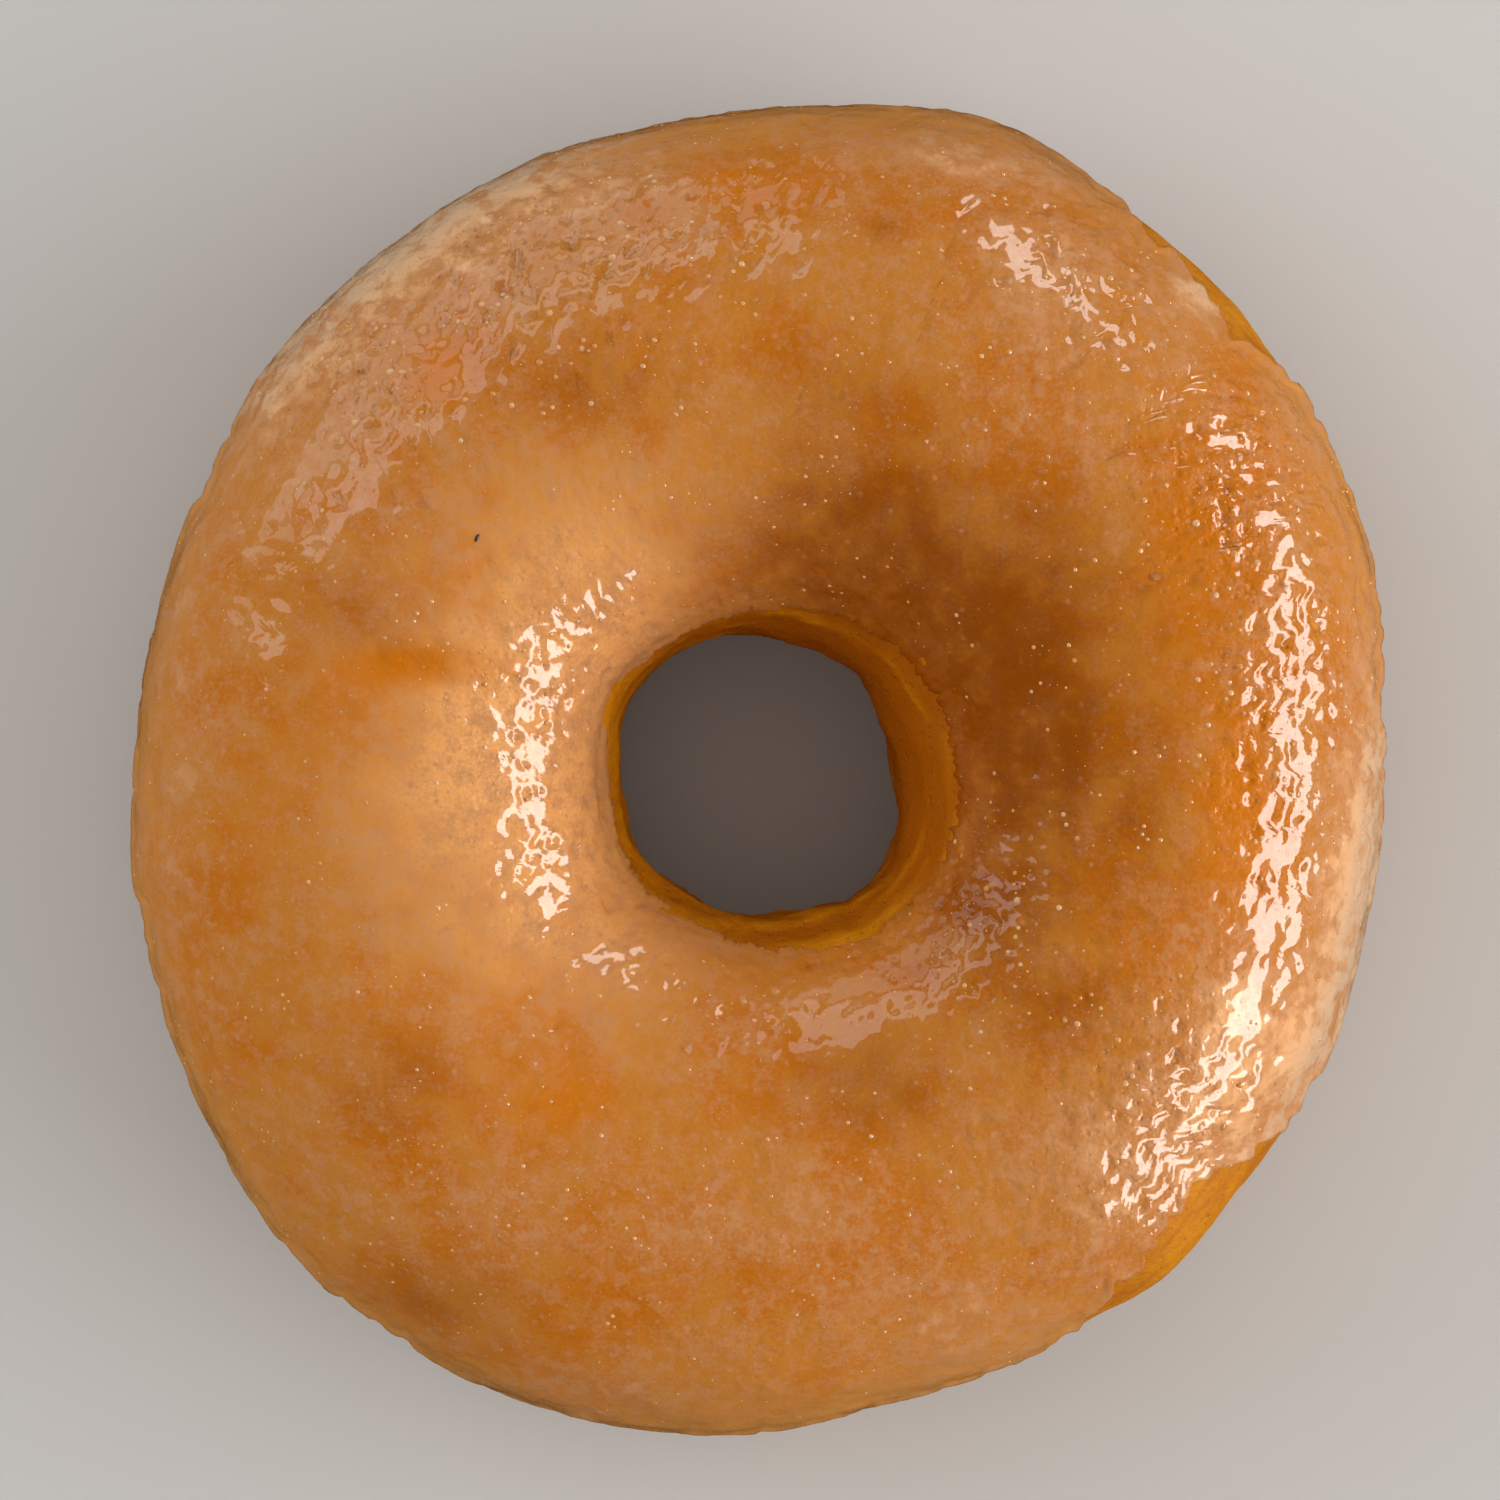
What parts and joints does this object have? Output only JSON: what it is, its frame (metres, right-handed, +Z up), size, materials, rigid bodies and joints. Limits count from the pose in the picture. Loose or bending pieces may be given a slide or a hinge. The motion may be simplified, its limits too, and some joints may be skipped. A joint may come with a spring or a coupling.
{
  "type": "ring doughnut",
  "caption": "Glazed ring doughnut: a rounded, slightly uneven ring of raised fried dough with a hole through its middle and a glossy sugar glaze on top.",
  "frame": {"origin": "on the surface the ring rests on, under the middle of its outline", "axes": "+Z up through the hole, +Y along the ring's longer width, +X along its shorter width; looking down with +Y away from the viewer gives the picture's view"},
  "size_m": [0.0878, 0.0932, 0.0332],
  "materials": {
    "crust": null,
    "glaze": null
  },
  "bodies": {
    "root": {"doughnut": "glaze"}
  },
  "joints": []
}
